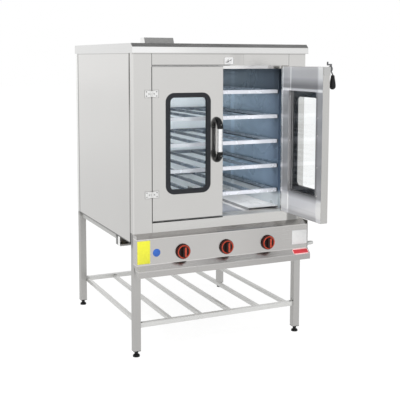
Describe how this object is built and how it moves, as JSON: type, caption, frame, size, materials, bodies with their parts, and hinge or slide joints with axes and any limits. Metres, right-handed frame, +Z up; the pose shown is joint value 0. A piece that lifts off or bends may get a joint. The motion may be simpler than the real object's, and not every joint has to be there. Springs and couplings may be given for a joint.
{
  "type": "pastry oven",
  "caption": "Upright gas pastry oven: steel cabinet on a tube stand, two glazed hinged doors, tube racks, burner control panel, flue collar.",
  "frame": {"origin": "On the floor, midway across the cabinet body and midway between its front frame and its back.", "axes": "+Z is up, +X points to the oven's right as seen from the front, towards the gas inlet, and +Y points from the doors to the back."},
  "size_m": [1.089, 1.442, 1.704],
  "materials": {
    "satin_steel": "satin brushed stainless sheet",
    "panel_steel": "darker satin brushed stainless sheet",
    "inner_door_steel": "bright brushed stainless sheet",
    "liner_steel": "stainless liner, blue-grey in the cavity light",
    "galvanised_tube": "satin stainless square tube",
    "galvanised_sheet": "galvanised sheet",
    "plated_rack": "bright plated square tube",
    "dark_runner": "heat-darkened steel angle",
    "hinge_steel": "plain pressed steel",
    "polished_grip": "polished stainless",
    "bright_channel": "bright aluminium channel",
    "window_rubber": "black moulded rubber",
    "oven_glass": "clear toughened glass",
    "black_plastic": "black moulded plastic",
    "knob_plastic": "red-orange moulded plastic over black",
    "gas_pipe": "plain steel pipe",
    "valve_brass": "turned brass",
    "mineral_wool": "pressed mineral wool slab"
  },
  "bodies": {
    "cabinet": {"legs": "galvanised_tube", "leg_end_caps": "black_plastic", "lower_shelf": "galvanised_tube", "frame_rails": "galvanised_tube", "side_panel_left": "satin_steel", "side_panel_right": "satin_steel", "back_panel": "galvanised_sheet", "stile_left": "satin_steel", "stile_right": "satin_steel", "head_rail": "satin_steel", "sill_rail": "satin_steel", "top_cover": "satin_steel", "flue_collar": "galvanised_sheet", "cavity_left_wall": "liner_steel", "cavity_right_wall": "liner_steel", "cavity_back_wall": "liner_steel", "cavity_ceiling": "liner_steel", "cavity_floor": "liner_steel", "floor_baffles": "liner_steel", "insulation": "mineral_wool", "rack_runners": "dark_runner", "rack_1": "plated_rack", "rack_2": "plated_rack", "rack_3": "plated_rack", "rack_4": "plated_rack", "rack_5": "plated_rack", "hinge_frame_leaves": "hinge_steel", "latch_keeper": "hinge_steel", "control_panel": "panel_steel", "gas_manifold": "gas_pipe", "gas_valves": "valve_brass", "gas_inlet": "gas_pipe", "burners": "gas_pipe"},
    "left_door": {"left_door_outer_skin": "satin_steel", "left_door_inner_skin": "inner_door_steel", "left_door_gasket": "window_rubber", "left_door_panes": "oven_glass", "left_door_channel": "bright_channel", "left_door_hinge_leaves": "hinge_steel", "handle_grip": "polished_grip", "handle_ends": "black_plastic"},
    "right_door": {"right_door_outer_skin": "satin_steel", "right_door_inner_skin": "inner_door_steel", "right_door_gasket": "window_rubber", "right_door_panes": "oven_glass", "right_door_channel": "bright_channel", "right_door_hinge_leaves": "hinge_steel", "latch_case": "hinge_steel"},
    "latch_lever": {"latch_lever": "polished_grip", "latch_knob": "black_plastic"},
    "foot_front_left": {"foot_front_left": "black_plastic"},
    "foot_front_right": {"foot_front_right": "black_plastic"},
    "foot_back_left": {"foot_back_left": "black_plastic"},
    "foot_back_right": {"foot_back_right": "black_plastic"},
    "valve_stem_left": {"valve_stem_left": "valve_brass"},
    "knob_left": {"knob_left": "knob_plastic"},
    "valve_stem_centre": {"valve_stem_centre": "valve_brass"},
    "knob_centre": {"knob_centre": "knob_plastic"},
    "valve_stem_right": {"valve_stem_right": "valve_brass"},
    "knob_right": {"knob_right": "knob_plastic"}
  },
  "joints": [
    {"name": "left_door_swing", "type": "hinge", "parent": "cabinet", "child": "left_door", "pos_m": [-0.41, -0.519, 1.125], "axis": [0, 0, -1], "range_deg": [0, 165]},
    {"name": "right_door_swing", "type": "hinge", "parent": "cabinet", "child": "right_door", "pos_m": [0.41, -0.519, 1.125], "axis": [0, 0, 1], "range_deg": [-90, 75]},
    {"name": "latch_turn", "type": "hinge", "parent": "right_door", "child": "latch_lever", "pos_m": [0.42, -0.8945, 1.52], "axis": [1, 0, 0], "range_deg": [0, 90]},
    {"name": "valve_push_left", "type": "slide", "parent": "cabinet", "child": "valve_stem_left", "axis": [0, 1, 0], "range_m": [0, 0.004], "stiffness_N_per_m": 600, "springref_m": -0.004},
    {"name": "knob_turn_left", "type": "hinge", "parent": "valve_stem_left", "child": "knob_left", "pos_m": [-0.256, -0.58, 0.56], "axis": [0, 1, 0], "range_deg": [0, 180]},
    {"name": "valve_push_centre", "type": "slide", "parent": "cabinet", "child": "valve_stem_centre", "axis": [0, 1, 0], "range_m": [0, 0.004], "stiffness_N_per_m": 600, "springref_m": -0.004},
    {"name": "knob_turn_centre", "type": "hinge", "parent": "valve_stem_centre", "child": "knob_centre", "pos_m": [0, -0.58, 0.56], "axis": [0, 1, 0], "range_deg": [0, 180]},
    {"name": "valve_push_right", "type": "slide", "parent": "cabinet", "child": "valve_stem_right", "axis": [0, 1, 0], "range_m": [0, 0.004], "stiffness_N_per_m": 600, "springref_m": -0.004},
    {"name": "knob_turn_right", "type": "hinge", "parent": "valve_stem_right", "child": "knob_right", "pos_m": [0.256, -0.58, 0.56], "axis": [0, 1, 0], "range_deg": [0, 180]},
    {"name": "foot_front_left_turn", "type": "hinge", "parent": "cabinet", "child": "foot_front_left", "pos_m": [-0.4938, -0.495, 0.031], "axis": [0, 0, 1], "continuous": true},
    {"name": "foot_front_right_turn", "type": "hinge", "parent": "cabinet", "child": "foot_front_right", "pos_m": [0.481, -0.495, 0.031], "axis": [0, 0, 1], "continuous": true},
    {"name": "foot_back_left_turn", "type": "hinge", "parent": "cabinet", "child": "foot_back_left", "pos_m": [-0.4938, 0.4938, 0.031], "axis": [0, 0, 1], "continuous": true},
    {"name": "foot_back_right_turn", "type": "hinge", "parent": "cabinet", "child": "foot_back_right", "pos_m": [0.481, 0.4938, 0.031], "axis": [0, 0, 1], "continuous": true}
  ]
}
